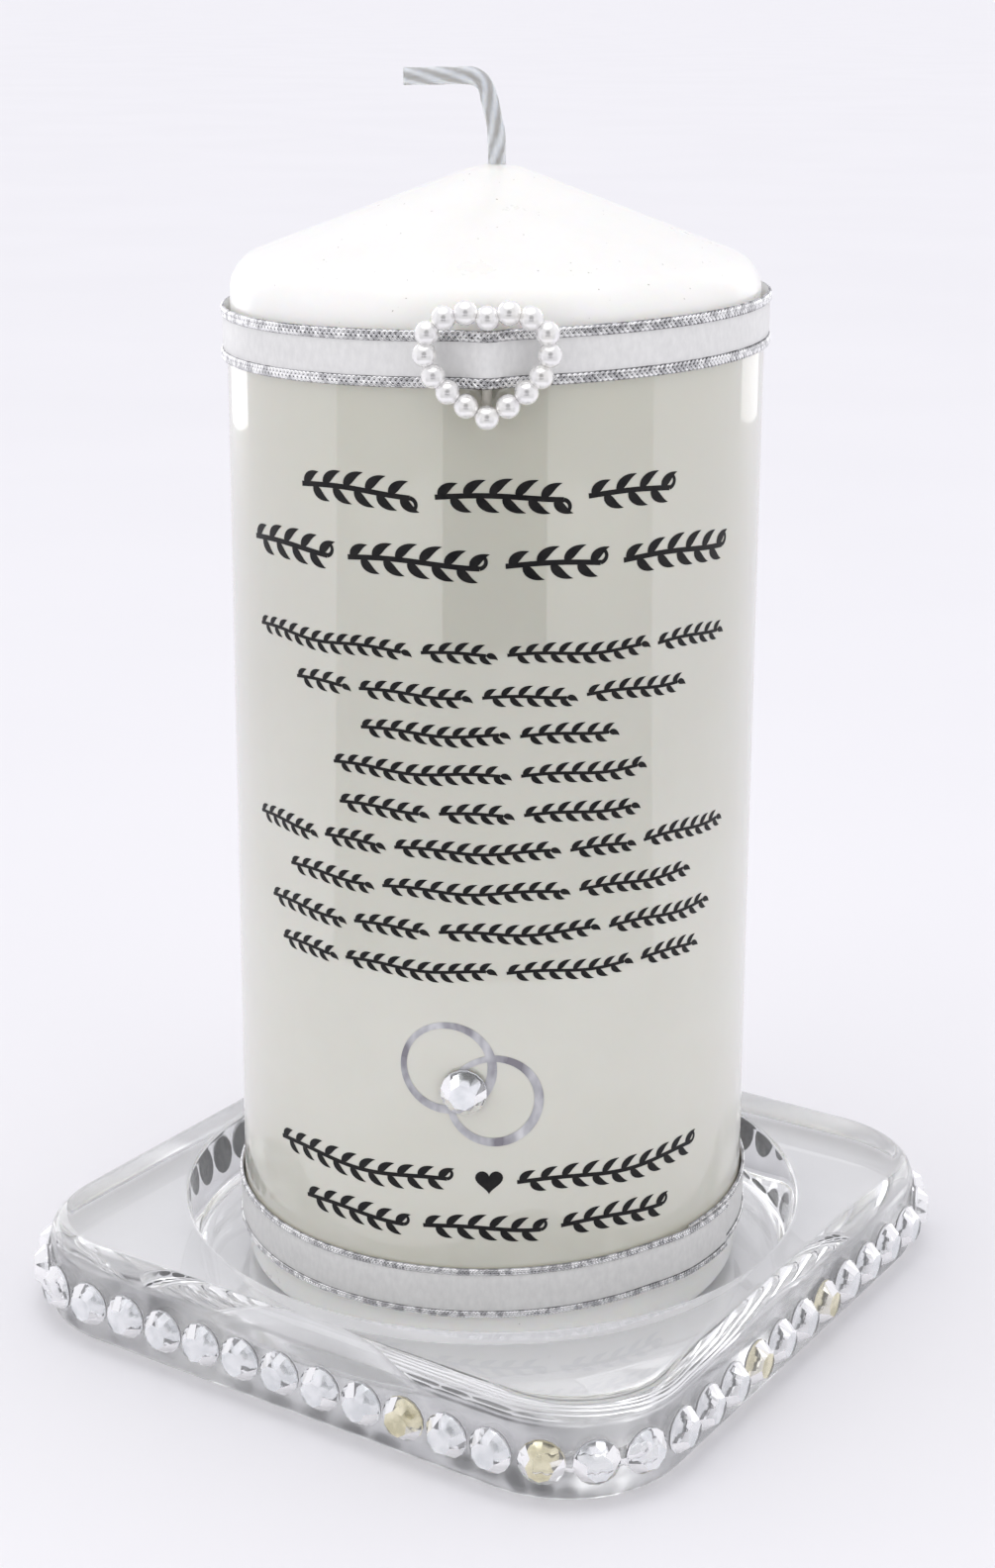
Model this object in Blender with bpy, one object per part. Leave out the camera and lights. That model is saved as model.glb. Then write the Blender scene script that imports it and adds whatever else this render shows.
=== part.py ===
"""Unity candle: a domed pillar candle with a printed film, two silver-edged ribbons and a pearl heart,
standing in the round well of a square pressed-glass plate whose rim is dressed with flat-back stones.

Units are metres. The origin is the middle of the plate's underside, +Z is up and the heart faces -Y.
"""

import math

import bmesh
import bpy
from mathutils import Matrix, Vector

MM = 0.001
GAP = 0.3 * MM

# Glass plate: a rounded square, turned so that one corner points almost forward.
PLATE_SIDE = 98.0 * MM
PLATE_CORNER = 16.5 * MM
PLATE_HEIGHT = 13.0 * MM
PLATE_TURN = math.radians(-33.3)
PLATE_TOP_ROUND = 3.0 * MM
PLATE_FOOT_ROUND = 0.8 * MM
CORNER_STEPS = 8

# The round well that the candle stands in.
WELL_RIM_RADIUS = 43.5 * MM
WELL_FLOOR_RADIUS = 40.0 * MM
WELL_FLOOR_Z = 4.5 * MM
WELL_FILLET = 2.0 * MM
WELL_LIP_ROUND = 0.7 * MM

# Wax body, from the well's floor to the tip of its cone.
WAX_RADIUS = 34.6 * MM
WAX_BOTTOM_Z = WELL_FLOOR_Z + GAP
WAX_FOOT_ROUND = 1.2 * MM
WAX_TIP_Z = 156.1 * MM
CONE_ANGLE = math.radians(21.0)
SHOULDER_ROUND = 5.0 * MM
TIP_ROUND = 12.0 * MM
TURNS = 64

# Wick, in a bore down the whole candle.
WICK_RADIUS = 1.2 * MM
BORE_RADIUS = WICK_RADIUS + GAP
WICK_BOTTOM_Z = WAX_BOTTOM_Z + 0.6 * MM
WICK_BEND_Z = 167.0 * MM
WICK_REACH = 12.0 * MM

# Printed film, wrapped once round the wax with its seam at the back.
FILM_THICKNESS = 0.2 * MM
FILM_INNER = WAX_RADIUS + GAP
FILM_OUTER = FILM_INNER + FILM_THICKNESS
FILM_SEAM = 0.5 * MM
FILM_LOW_Z = 13.0 * MM
FILM_HIGH_Z = 137.0 * MM

# Ribbons: satin between two thicker silver edges, with a lapped end.
RIBBON_INNER = FILM_OUTER + GAP
RIBBON_WIDTH = 7.0 * MM
SATIN_THICKNESS = 0.25 * MM
SILVER_THICKNESS = 0.5 * MM
SILVER_WIDTH = 1.45 * MM
RIBBON_LAP = math.radians(14.0)
RIBBON_LAP_LIFT = SILVER_THICKNESS + 0.15 * MM
UPPER_RIBBON_Z = 132.4 * MM
UPPER_RIBBON_LEAN = math.radians(1.8)
UPPER_RIBBON_END = math.radians(180.0)
LOWER_RIBBON_Z = 10.6 * MM
LOWER_RIBBON_LEAN = math.radians(1.0)
LOWER_RIBBON_END = math.radians(62.0)

# Heart slider buckle: a ring of moulded pearls round a plain upright bar that the ribbon passes over.
PEARL_RADIUS = 1.42 * MM
HEART_X = -1.0 * MM
HEART_BOTTOM_Z = 129.2 * MM
HEART_HALF = ((2.47, 1.35), (4.65, 3.0), (6.35, 4.9), (7.38, 7.42), (7.08, 10.15), (5.12, 12.0), (2.55, 12.65))
HEART_DIP = 12.0
HEART_DEPTH = 37.7 * MM
HEART_WIRE_RADIUS = 0.55 * MM
BAR_WIDTH = 1.2 * MM
BAR_BACK = FILM_OUTER + GAP + 0.1 * MM
BAR_FRONT = 36.75 * MM
RIBBON_OVER_BAR = BAR_FRONT + GAP - RIBBON_INNER
BAR_BULGE_WIDTH = 2.3 * MM

# Flat-back stones: 11 along each straight side and 3 round each corner.
GEM_RADIUS = 3.0 * MM
GEM_HEIGHT = 2.1 * MM
GEM_GIRDLE = 0.55 * MM
GEM_TABLE = 0.58
GEM_Z = 5.8 * MM
GEMS_PER_SIDE = 11
GEMS_PER_CORNER = 3
GLUE_THICKNESS = 0.55 * MM
GLUE_WIDTH = 3.0 * MM
RING_GEM_Z = 42.3 * MM
RING_GEM_ANGLE = math.radians(-5.9)


def clear_scene():
    for obj in list(bpy.data.objects):
        bpy.data.objects.remove(obj)


def material(name, colour, roughness, metallic=0.0, transmission=0.0):
    made = bpy.data.materials.new(name)
    made.use_nodes = True
    shader = made.node_tree.nodes["Principled BSDF"]
    shader.inputs["Base Color"].default_value = (*colour, 1.0)
    shader.inputs["Roughness"].default_value = roughness
    shader.inputs["Metallic"].default_value = metallic
    shader.inputs["Transmission Weight"].default_value = transmission
    made.diffuse_color = (*colour, 1.0)
    return made


def add_object(name, bm, mat, smooth=True):
    """Turns a bmesh into a named object, its faces facing out."""
    bmesh.ops.recalc_face_normals(bm, faces=bm.faces[:])
    mesh = bpy.data.meshes.new(name)
    bm.to_mesh(mesh)
    bm.free()
    mesh.materials.append(mat)
    if smooth:
        mesh.shade_smooth()
        mesh.set_sharp_from_angle(angle=math.radians(35.0))
    obj = bpy.data.objects.new(name, mesh)
    bpy.context.scene.collection.objects.link(obj)
    return obj


def make_helper(obj):
    obj.hide_render = True
    obj.display_type = "WIRE"


def combine(obj, other, operation):
    """Adds or cuts a helper object with an exact Boolean."""
    make_helper(other)
    modifier = obj.modifiers.new(other.name, "BOOLEAN")
    modifier.object = other
    modifier.operation = operation
    modifier.solver = "EXACT"


def arc(centre, radius, start, end, steps):
    """Points on an arc in a plane, angles from the plane's first axis."""
    angles = [start + (end - start) * step / steps for step in range(steps + 1)]
    return [(centre[0] + radius * math.cos(a), centre[1] + radius * math.sin(a)) for a in angles]


def join_loops(bm, first, second):
    """A band of quads between two closed loops of the same length."""
    count = len(first)
    for i in range(count):
        j = (i + 1) % count
        bm.faces.new((first[i], first[j], second[j], second[i]))


def lathe(bm, profile, turns):
    """Spins a closed (radius, height) outline that stays clear of the axis into a ring-shaped solid."""
    loops = []
    for radius, height in profile:
        angles = [2 * math.pi * turn / turns for turn in range(turns)]
        loops.append([bm.verts.new((radius * math.cos(a), radius * math.sin(a), height)) for a in angles])
    for first, second in zip(loops, loops[1:] + loops[:1]):
        join_loops(bm, first, second)


def lathe_capped(bm, profile, turns):
    """Spins an open (radius, height) outline and closes both ends with flat caps."""
    loops = []
    for radius, height in profile:
        angles = [2 * math.pi * turn / turns for turn in range(turns)]
        loops.append([bm.verts.new((radius * math.cos(a), radius * math.sin(a), height)) for a in angles])
    for first, second in zip(loops, loops[1:]):
        join_loops(bm, first, second)
    bm.faces.new(loops[0])
    bm.faces.new(loops[-1])


def sweep(bm, sections):
    """Joins matching closed sections one after another and caps the two ends."""
    loops = [[bm.verts.new(point) for point in section] for section in sections]
    for first, second in zip(loops, loops[1:]):
        join_loops(bm, first, second)
    bm.faces.new(loops[0])
    bm.faces.new(loops[-1])


def round_the_axis(angle, radius, height):
    """A point at an angle round the candle, 0 facing -Y and growing towards +X."""
    return Vector((radius * math.sin(angle), -radius * math.cos(angle), height))


# ---------------------------------------------------------------- glass plate


def plate_outline(inset, height):
    """One closed loop of the rounded square, drawn in from the full outline by an inset."""
    reach = PLATE_SIDE / 2 - PLATE_CORNER
    radius = PLATE_CORNER - inset
    loop = []
    for quarter in range(4):
        start = quarter * math.pi / 2
        corner = Matrix.Rotation(start, 2) @ Vector((reach, reach))
        loop += arc(corner, radius, start, start + math.pi / 2, CORNER_STEPS)
    return [(x, y, height) for x, y in loop]


def well_profile():
    """The well from its floor to above the plate's top face, as a cutter."""
    wall_foot = WELL_FLOOR_Z + WELL_FILLET
    fillet_centre = (WELL_FLOOR_RADIUS, wall_foot)
    profile = arc(fillet_centre, WELL_FILLET, math.radians(-90), math.radians(-12), 4)
    lip_centre = (WELL_RIM_RADIUS + WELL_LIP_ROUND * 0.4, PLATE_HEIGHT - WELL_LIP_ROUND)
    profile += arc(lip_centre, WELL_LIP_ROUND, math.radians(168), math.radians(100), 3)
    profile.append((lip_centre[0] - WELL_LIP_ROUND * 0.1, PLATE_HEIGHT + 3 * MM))
    return profile


def make_plate(glass):
    bm = bmesh.new()
    foot = arc((0.0, PLATE_FOOT_ROUND), PLATE_FOOT_ROUND, math.radians(-90), 0.0, 3)
    top_centre = PLATE_HEIGHT - PLATE_TOP_ROUND
    top = arc((0.0, top_centre), PLATE_TOP_ROUND, 0.0, math.radians(90), 6)
    levels = [(PLATE_FOOT_ROUND - x, z) for x, z in foot] + [(PLATE_TOP_ROUND - x, z) for x, z in top]
    sweep(bm, [plate_outline(inset, height) for inset, height in levels])
    plate = add_object("glass_plate", bm, glass)
    plate.rotation_euler.z = PLATE_TURN

    bm = bmesh.new()
    lathe_capped(bm, well_profile(), TURNS)
    combine(plate, add_object("well_cutter", bm, glass), "DIFFERENCE")
    return plate


# ---------------------------------------------------------------- candle


def dome_profile():
    """The shoulder, the cone and the rounded tip, from the side of the candle up to the bore."""
    shoulder_end = math.pi / 2 - CONE_ANGLE
    cone_tip_z = WAX_TIP_Z + TIP_ROUND * (1 / math.cos(CONE_ANGLE) - 1)
    shoulder_x = WAX_RADIUS - SHOULDER_ROUND
    shoulder_edge = shoulder_x + SHOULDER_ROUND * math.cos(shoulder_end)
    shoulder_z = cone_tip_z - shoulder_edge * math.tan(CONE_ANGLE) - SHOULDER_ROUND * math.sin(shoulder_end)
    profile = arc((shoulder_x, shoulder_z), SHOULDER_ROUND, 0.0, shoulder_end, 7)
    tip_end = math.acos(BORE_RADIUS / TIP_ROUND)
    profile += arc((0.0, WAX_TIP_Z - TIP_ROUND), TIP_ROUND, math.pi / 2 - CONE_ANGLE, tip_end, 3)
    return profile


def make_wax(wax):
    foot_centre = (WAX_RADIUS - WAX_FOOT_ROUND, WAX_BOTTOM_Z + WAX_FOOT_ROUND)
    profile = [(BORE_RADIUS, WAX_BOTTOM_Z)]
    profile += arc(foot_centre, WAX_FOOT_ROUND, math.radians(-90), 0.0, 3)
    profile += dome_profile()
    bm = bmesh.new()
    lathe(bm, profile, TURNS)
    return add_object("wax_body", bm, wax)


def wick_path():
    """Up the bore, a slight lean to the left, a soft bend, then level to the trimmed tip."""
    path = [Vector((0.0, 0.0, WICK_BOTTOM_Z)), Vector((0.0, 0.0, WAX_TIP_Z - 4 * MM))]
    path.append(Vector((0.1 * MM, 0.0, WAX_TIP_Z + 1.0 * MM)))
    path.append(Vector((-0.1 * MM, 0.0, 160.8 * MM)))
    path.append(Vector((-0.8 * MM, 0.0, 164.0 * MM)))
    bend = 2.4 * MM
    bend_x = -1.15 * MM - bend
    for a in (0.0, 30.0, 60.0, 90.0):
        angle = math.radians(a)
        path.append(Vector((bend_x + bend * math.cos(angle), 0.0, WICK_BEND_Z - bend + bend * math.sin(angle))))
    path.append(Vector((-8.0 * MM, 0.0, WICK_BEND_Z + 0.1 * MM)))
    path.append(Vector((-WICK_REACH, 0.0, WICK_BEND_Z - 0.05 * MM)))
    return path


def make_wick(cotton):
    path = wick_path()
    sections = []
    for i, point in enumerate(path):
        along = (path[min(i + 1, len(path) - 1)] - path[max(i - 1, 0)]).normalized()
        side = Vector((0.0, 1.0, 0.0))
        other = along.cross(side)
        angles = [2 * math.pi * step / 12 for step in range(12)]
        sections.append([point + WICK_RADIUS * (side * math.cos(a) + other * math.sin(a)) for a in angles])
    bm = bmesh.new()
    sweep(bm, sections)
    return add_object("wick", bm, cotton)


def make_film(film):
    seam = FILM_SEAM / FILM_OUTER
    start = -math.pi + seam / 2
    span = 2 * math.pi - seam
    corners = (
        (FILM_INNER, FILM_LOW_Z),
        (FILM_OUTER, FILM_LOW_Z),
        (FILM_OUTER, FILM_HIGH_Z),
        (FILM_INNER, FILM_HIGH_Z),
    )
    sections = []
    for step in range(TURNS + 1):
        angle = start + span * step / TURNS
        sections.append([round_the_axis(angle, radius, height) for radius, height in corners])
    bm = bmesh.new()
    sweep(bm, sections)
    return add_object("printed_film", bm, film)


def ribbon_section():
    """The ribbon's cross-section as (thickness, height), inner face first."""
    edge = 0.3 * MM
    lower = [
        (0.0, 0.0),
        (SILVER_THICKNESS * 0.6, 0.0),
        (SILVER_THICKNESS, edge),
        (SILVER_THICKNESS, SILVER_WIDTH - edge),
        (SATIN_THICKNESS, SILVER_WIDTH),
    ]
    upper = [(thickness, RIBBON_WIDTH - height) for thickness, height in reversed(lower)]
    return lower + upper


def make_ribbon(name, satin, base_z, lean, end_angle, passes_bar):
    """One turn of ribbon from its end, with the last stretch lapped over the start."""
    steps = TURNS + 16
    span = 2 * math.pi + RIBBON_LAP
    angles = [end_angle - RIBBON_LAP + span * step / steps for step in range(steps + 1)]
    if passes_bar:
        near_bar = [HEART_X / RIBBON_INNER + 2 * math.pi + math.radians(1.0 * k) for k in range(-10, 11)]
        angles = sorted([a for a in angles if abs(a - near_bar[10]) > math.radians(10.5)] + near_bar)
    sections = []
    for angle in angles:
        lapped = (angle - (end_angle + 2 * math.pi - 2 * RIBBON_LAP)) / RIBBON_LAP
        rise = min(max(lapped, 0.0), 1.0)
        radius = RIBBON_INNER + RIBBON_LAP_LIFT * rise * rise * (3 - 2 * rise)
        if passes_bar:
            across = (angle - 2 * math.pi) * RIBBON_INNER - HEART_X
            radius += RIBBON_OVER_BAR * math.exp(-((across / BAR_BULGE_WIDTH) ** 2))
        lift = base_z + math.tan(lean) * radius * math.sin(angle)
        sections.append([round_the_axis(angle, radius + out, lift + up) for out, up in ribbon_section()])
    bm = bmesh.new()
    sweep(bm, sections)
    return add_object(name, bm, satin)


# ---------------------------------------------------------------- heart buckle


def heart_centres():
    """Pearl centres in order round the heart, starting at the bottom."""
    right = [(x * MM, z * MM) for x, z in HEART_HALF]
    left = [(-x, z) for x, z in reversed(right)]
    outline = [(0.0, 0.0)] + right + [(0.0, HEART_DIP * MM)] + left
    return [Vector((HEART_X + x, -HEART_DEPTH, HEART_BOTTOM_Z + z)) for x, z in outline]


def make_buckle(pearl):
    centres = heart_centres()
    wire = []
    for i, centre in enumerate(centres):
        along = (centres[(i + 1) % len(centres)] - centres[i - 1]).normalized()
        back = Vector((0.0, 1.0, 0.0))
        side = along.cross(back)
        angles = [math.pi / 3 * step for step in range(6)]
        ring = [centre + HEART_WIRE_RADIUS * (back * math.cos(a) + side * math.sin(a)) for a in angles]
        wire.append(ring)
    bm = bmesh.new()
    loops = [[bm.verts.new(point) for point in ring] for ring in wire]
    for first, second in zip(loops, loops[1:] + loops[:1]):
        join_loops(bm, first, second)
    buckle = add_object("heart_buckle", bm, pearl)

    for i, centre in enumerate(centres):
        bm = bmesh.new()
        bmesh.ops.create_uvsphere(bm, u_segments=12, v_segments=8, radius=PEARL_RADIUS)
        bead = add_object(f"pearl_{i + 1:02d}", bm, pearl)
        bead.location = centre
        bead.rotation_euler.x = math.radians(90.0)
        combine(buckle, bead, "UNION")

    bm = bmesh.new()
    bmesh.ops.create_cube(bm, size=1.0)
    bar = add_object("buckle_bar", bm, pearl, smooth=False)
    bar.scale = (BAR_WIDTH, BAR_FRONT - BAR_BACK, HEART_DIP * MM)
    bar.location = (HEART_X, -(BAR_FRONT + BAR_BACK) / 2, HEART_BOTTOM_Z + HEART_DIP * MM / 2)
    combine(buckle, bar, "UNION")
    return buckle


# ---------------------------------------------------------------- stones


def gem_mesh(bm):
    """A flat-back stone along +Z: round girdle, eight-sided table and 24 crown facets."""
    ring = [math.pi / 8 * step for step in range(16)]
    back = [bm.verts.new((GEM_RADIUS * 0.97 * math.cos(a), GEM_RADIUS * 0.97 * math.sin(a), 0.0)) for a in ring]
    girdle = [bm.verts.new((GEM_RADIUS * math.cos(a), GEM_RADIUS * math.sin(a), GEM_GIRDLE)) for a in ring]
    table_radius = GEM_RADIUS * GEM_TABLE
    corners = [math.pi / 8 + math.pi / 4 * step for step in range(8)]
    table = [bm.verts.new((table_radius * math.cos(a), table_radius * math.sin(a), GEM_HEIGHT)) for a in corners]
    join_loops(bm, back, girdle)
    for i in range(8):
        j = (i + 1) % 8
        middle = girdle[(2 * i + 2) % 16]
        bm.faces.new((table[i], table[j], middle))
        bm.faces.new((table[i], girdle[(2 * i + 1) % 16], girdle[2 * i]))
        bm.faces.new((table[i], middle, girdle[(2 * i + 1) % 16]))
    bm.faces.new(back)
    bm.faces.new(table)


def facing(point, outward):
    """A placement at a point whose +Z looks outward and whose +Y stays up."""
    up = Vector((0.0, 0.0, 1.0))
    side = up.cross(outward)
    rotation = Matrix((side, up, outward)).transposed().to_4x4()
    return Matrix.Translation(point) @ rotation


def make_gem(name, crystal, placement):
    bm = bmesh.new()
    gem_mesh(bm)
    gem = add_object(name, bm, crystal, smooth=False)
    gem.matrix_world = placement
    return gem


def make_side_gems(crystal):
    """The stones along the four straight sides, numbered from left to right as seen from outside."""
    pitch = rim_pitch()
    for side, label in enumerate(("front_left", "front_right", "back_right", "back_left")):
        turn = Matrix.Rotation(PLATE_TURN + side * math.pi / 2, 3, "Z")
        outward = turn @ Vector((0.0, -1.0, 0.0))
        along = turn @ Vector((1.0, 0.0, 0.0))
        for i in range(GEMS_PER_SIDE):
            shift = (i - (GEMS_PER_SIDE - 1) / 2) * pitch
            point = outward * (PLATE_SIDE / 2 + GAP) + along * shift + Vector((0.0, 0.0, GEM_Z))
            make_gem(f"gem_{label}_{i + 1:02d}", crystal, facing(point, outward))


def rim_pitch():
    """The spacing of stones along the rim, the same on the sides and round the corners."""
    straight = 4 * (PLATE_SIDE - 2 * PLATE_CORNER)
    rim = straight + 2 * math.pi * PLATE_CORNER
    return rim / (4 * (GEMS_PER_SIDE + GEMS_PER_CORNER))


def make_corner_gems(crystal):
    """Three stones on each rounded corner, bedded on one bead of clear glue."""
    step = rim_pitch() / PLATE_CORNER
    reach = PLATE_SIDE / 2 - PLATE_CORNER
    glue_inner = PLATE_CORNER + GAP
    for quarter, label in enumerate(("front", "right", "back", "left")):
        middle = PLATE_TURN + (quarter - 0.25) * math.pi / 2 - math.pi / 8
        axis = Matrix.Rotation(middle - math.pi / 4, 3, "Z") @ Vector((reach, reach, GEM_Z))
        sections = []
        for k in range(13):
            angle = middle + (k / 6 - 1) * step * 1.15
            outward = Vector((math.cos(angle), math.sin(angle), 0.0))
            inner = axis + outward * glue_inner
            outer = axis + outward * (glue_inner + GLUE_THICKNESS)
            rise = Vector((0.0, 0.0, GLUE_WIDTH / 2))
            sections.append([inner - rise, outer - rise, outer + rise, inner + rise])
        bm = bmesh.new()
        sweep(bm, sections)
        group = add_object(f"corner_gems_{label}", bm, crystal, smooth=False)
        for i in range(GEMS_PER_CORNER):
            angle = middle + (i - 1) * step
            outward = Vector((math.cos(angle), math.sin(angle), 0.0))
            placement = facing(axis + outward * glue_inner, outward)
            combine(group, make_gem(f"corner_{label}_{i + 1}", crystal, placement), "UNION")


def make_ring_gem(crystal):
    outward = round_the_axis(RING_GEM_ANGLE, 1.0, 0.0)
    point = outward * (FILM_OUTER + GAP) + Vector((0.0, 0.0, RING_GEM_Z))
    make_gem("ring_gem", crystal, facing(point, outward))


def main():
    clear_scene()
    glass = material("clear_glass", (0.93, 0.95, 0.94), 0.03, transmission=1.0)
    wax = material("ivory_wax", (0.86, 0.85, 0.78), 0.32)
    cotton = material("waxed_cotton", (0.82, 0.81, 0.76), 0.7)
    film = material("printed_film", (0.80, 0.79, 0.74), 0.12)
    satin = material("silver_edged_satin", (0.85, 0.85, 0.87), 0.4)
    pearl = material("pearl_plastic", (0.88, 0.88, 0.87), 0.2)
    crystal = material("foiled_crystal", (0.80, 0.84, 0.88), 0.05, metallic=0.6)

    make_plate(glass)
    make_wax(wax)
    make_wick(cotton)
    make_film(film)
    make_ribbon("upper_ribbon", satin, UPPER_RIBBON_Z, UPPER_RIBBON_LEAN, UPPER_RIBBON_END, True)
    make_ribbon("lower_ribbon", satin, LOWER_RIBBON_Z, LOWER_RIBBON_LEAN, LOWER_RIBBON_END, False)
    make_buckle(pearl)
    make_side_gems(crystal)
    make_corner_gems(crystal)
    make_ring_gem(crystal)


main()
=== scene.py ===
# %% [markdown]
# # A unity candle on a stone-set glass plate
#
# This lesson dresses a plain model of a wedding candle until it looks like the real thing.
# The plain model is already built and packed: every piece has its true size and place there.
# Here we add what the eye reads first, such as clear glass, soft wax, woven ribbon and pearl lacquer.
#
# The first cell loads that model as a frame. Nothing in the frame is moved: new pieces are made to
# fit over it, each one rides on the body it belongs to, and it says which plain piece it stands for.

# %% Load the frame
import math
import random

import bmesh
import bpy
from mathutils import Matrix, Vector


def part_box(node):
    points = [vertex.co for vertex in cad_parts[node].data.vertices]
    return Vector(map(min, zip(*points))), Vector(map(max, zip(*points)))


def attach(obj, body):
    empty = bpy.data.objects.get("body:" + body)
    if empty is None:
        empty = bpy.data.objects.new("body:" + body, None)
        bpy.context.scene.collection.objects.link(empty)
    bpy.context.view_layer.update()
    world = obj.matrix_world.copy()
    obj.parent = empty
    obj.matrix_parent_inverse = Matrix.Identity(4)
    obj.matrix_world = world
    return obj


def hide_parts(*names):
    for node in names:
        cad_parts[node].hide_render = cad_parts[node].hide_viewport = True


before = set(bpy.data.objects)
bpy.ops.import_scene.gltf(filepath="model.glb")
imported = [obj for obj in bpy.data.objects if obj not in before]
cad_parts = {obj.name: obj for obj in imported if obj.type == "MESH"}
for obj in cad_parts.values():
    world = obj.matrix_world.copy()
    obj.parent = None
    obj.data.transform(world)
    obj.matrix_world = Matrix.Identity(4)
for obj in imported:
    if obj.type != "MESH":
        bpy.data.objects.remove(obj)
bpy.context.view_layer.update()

MM = 0.001

# %% [markdown]
# ## Measures
#
# Heights and radii are read from the frame, so a new piece always lands where the plain one is.
# A box gives the lowest and highest corner of a piece. For anything round, half its width is its
# radius.

# %% Read the main sizes
_, plate_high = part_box("glass_plate")
wax_low, wax_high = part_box("wax_body")
film_low, film_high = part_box("printed_film")
heart_low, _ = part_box("heart_buckle")

PLATE_TOP = plate_high.z
WAX_RADIUS = wax_high.x
FILM_RADIUS = film_high.x
RIBBON_INNER = FILM_RADIUS + 0.3 * MM
RIBBON_WIDTH = 7.0 * MM
print(f"plate top {PLATE_TOP / MM:.1f} mm")
print(f"wax radius {WAX_RADIUS / MM:.1f} mm, film radius {FILM_RADIUS / MM:.1f} mm")

# %% [markdown]
# ## A small kit for building shapes
#
# Almost everything on this candle is a row of matching outlines joined one after another: a lathe
# turning, a ribbon, a braid, a leaf of ink. So one helper collects points and joins rings of them.
# Building from rings keeps the faces evenly sized, which matters for smooth glass and wax.

# %% Shape helpers


class Shape:
    """Collects points and faces, then becomes one named object."""

    def __init__(self):
        self.points = []
        self.faces = []
        self.slots = []

    def ring(self, points):
        start = len(self.points)
        self.points += [tuple(point) for point in points]
        return list(range(start, len(self.points)))

    def face(self, corners, slot=0):
        self.faces.append(tuple(corners))
        self.slots.append(slot)

    def band(self, first, second, closed=True, slot=0):
        for i in range(len(first) if closed else len(first) - 1):
            j = (i + 1) % len(first)
            self.face((first[i], first[j], second[j], second[i]), slot)

    def loft(self, sections, closed=True, caps=True, slot=0):
        rings = [self.ring(section) for section in sections]
        for first, second in zip(rings, rings[1:]):
            self.band(first, second, closed, slot)
        if caps:
            self.face(rings[0], slot)
            self.face(rings[-1][::-1], slot)
        return rings

    def made(self, name, *materials, smooth=True, sharp=None, solid=True):
        mesh = bpy.data.meshes.new(name)
        mesh.from_pydata(self.points, [], self.faces)
        mesh.polygons.foreach_set("material_index", self.slots)
        if solid:
            work = bmesh.new()
            work.from_mesh(mesh)
            bmesh.ops.recalc_face_normals(work, faces=work.faces[:])
            work.to_mesh(mesh)
            work.free()
        for material in materials:
            mesh.materials.append(material)
        if smooth:
            mesh.shade_smooth()
        if sharp:
            mesh.set_sharp_from_angle(angle=math.radians(sharp))
        made = bpy.data.objects.new(name, mesh)
        bpy.context.scene.collection.objects.link(made)
        return made


# %% [markdown]
# Four more helpers place things.

# %% Placing helpers


def wrap(angle, radius, height):
    """A point round the candle: angle 0 faces the front and grows towards +X."""
    return Vector((radius * math.sin(angle), -radius * math.cos(angle), height))


def arc(centre, radius, start, end, steps):
    """Points on an arc, with its angles in degrees."""
    angles = [math.radians(start + (end - start) * step / steps) for step in range(steps + 1)]
    return [(centre[0] + radius * math.cos(a), centre[1] + radius * math.sin(a)) for a in angles]


def tube(shape, path, radius, sides=6, slot=0, flat=1.0, side=None):
    """A round thread along a path. side is the direction that its flattened face looks in."""
    sections = []
    for i, point in enumerate(path):
        along = (path[min(i + 1, len(path) - 1)] - path[max(i - 1, 0)]).normalized()
        out = side(point) if side else Vector((0.0, 1.0, 0.0))
        out = (out - along * out.dot(along)).normalized()
        across = along.cross(out)
        angles = [2 * math.pi * step / sides for step in range(sides)]
        wide = radius(i) if callable(radius) else radius
        sections.append(
            [point + wide * (across * math.cos(a) + out * flat * math.sin(a)) for a in angles]
        )
    shape.loft(sections, slot=slot)


def settle(piece, body, slot, *stands_for):
    """Makes a piece ride on its body and hides the plain pieces it stands for. slot is not used."""
    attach(piece, body)
    if stands_for:
        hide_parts(*stands_for)
    print(f"{piece.name}: {len(piece.data.polygons)} faces on {body}")
    return piece


# %% [markdown]
# ## A small kit for materials
#
# A believable finish is rarely one flat value. Wax is cloudy, lurex glitters thread by thread and
# even clear glass carries a faint ripple. Each finish below starts from the Principled shader and
# feeds it noise at the size the real surface varies at. The noise is read in the object's own
# coordinates, in metres, so a scale of 1000 means one wave each millimetre.

# %% Material helpers


def fill_ramp(elements, stops):
    """Gives a colour ramp its stops. Each is a position and a colour."""
    for element, (position, colour) in zip((elements[0], elements[1]), (stops[0], stops[-1])):
        element.position = position
        element.color = (*colour, 1.0)
    for position, colour in stops[1:-1]:
        elements.new(position).color = (*colour, 1.0)


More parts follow.
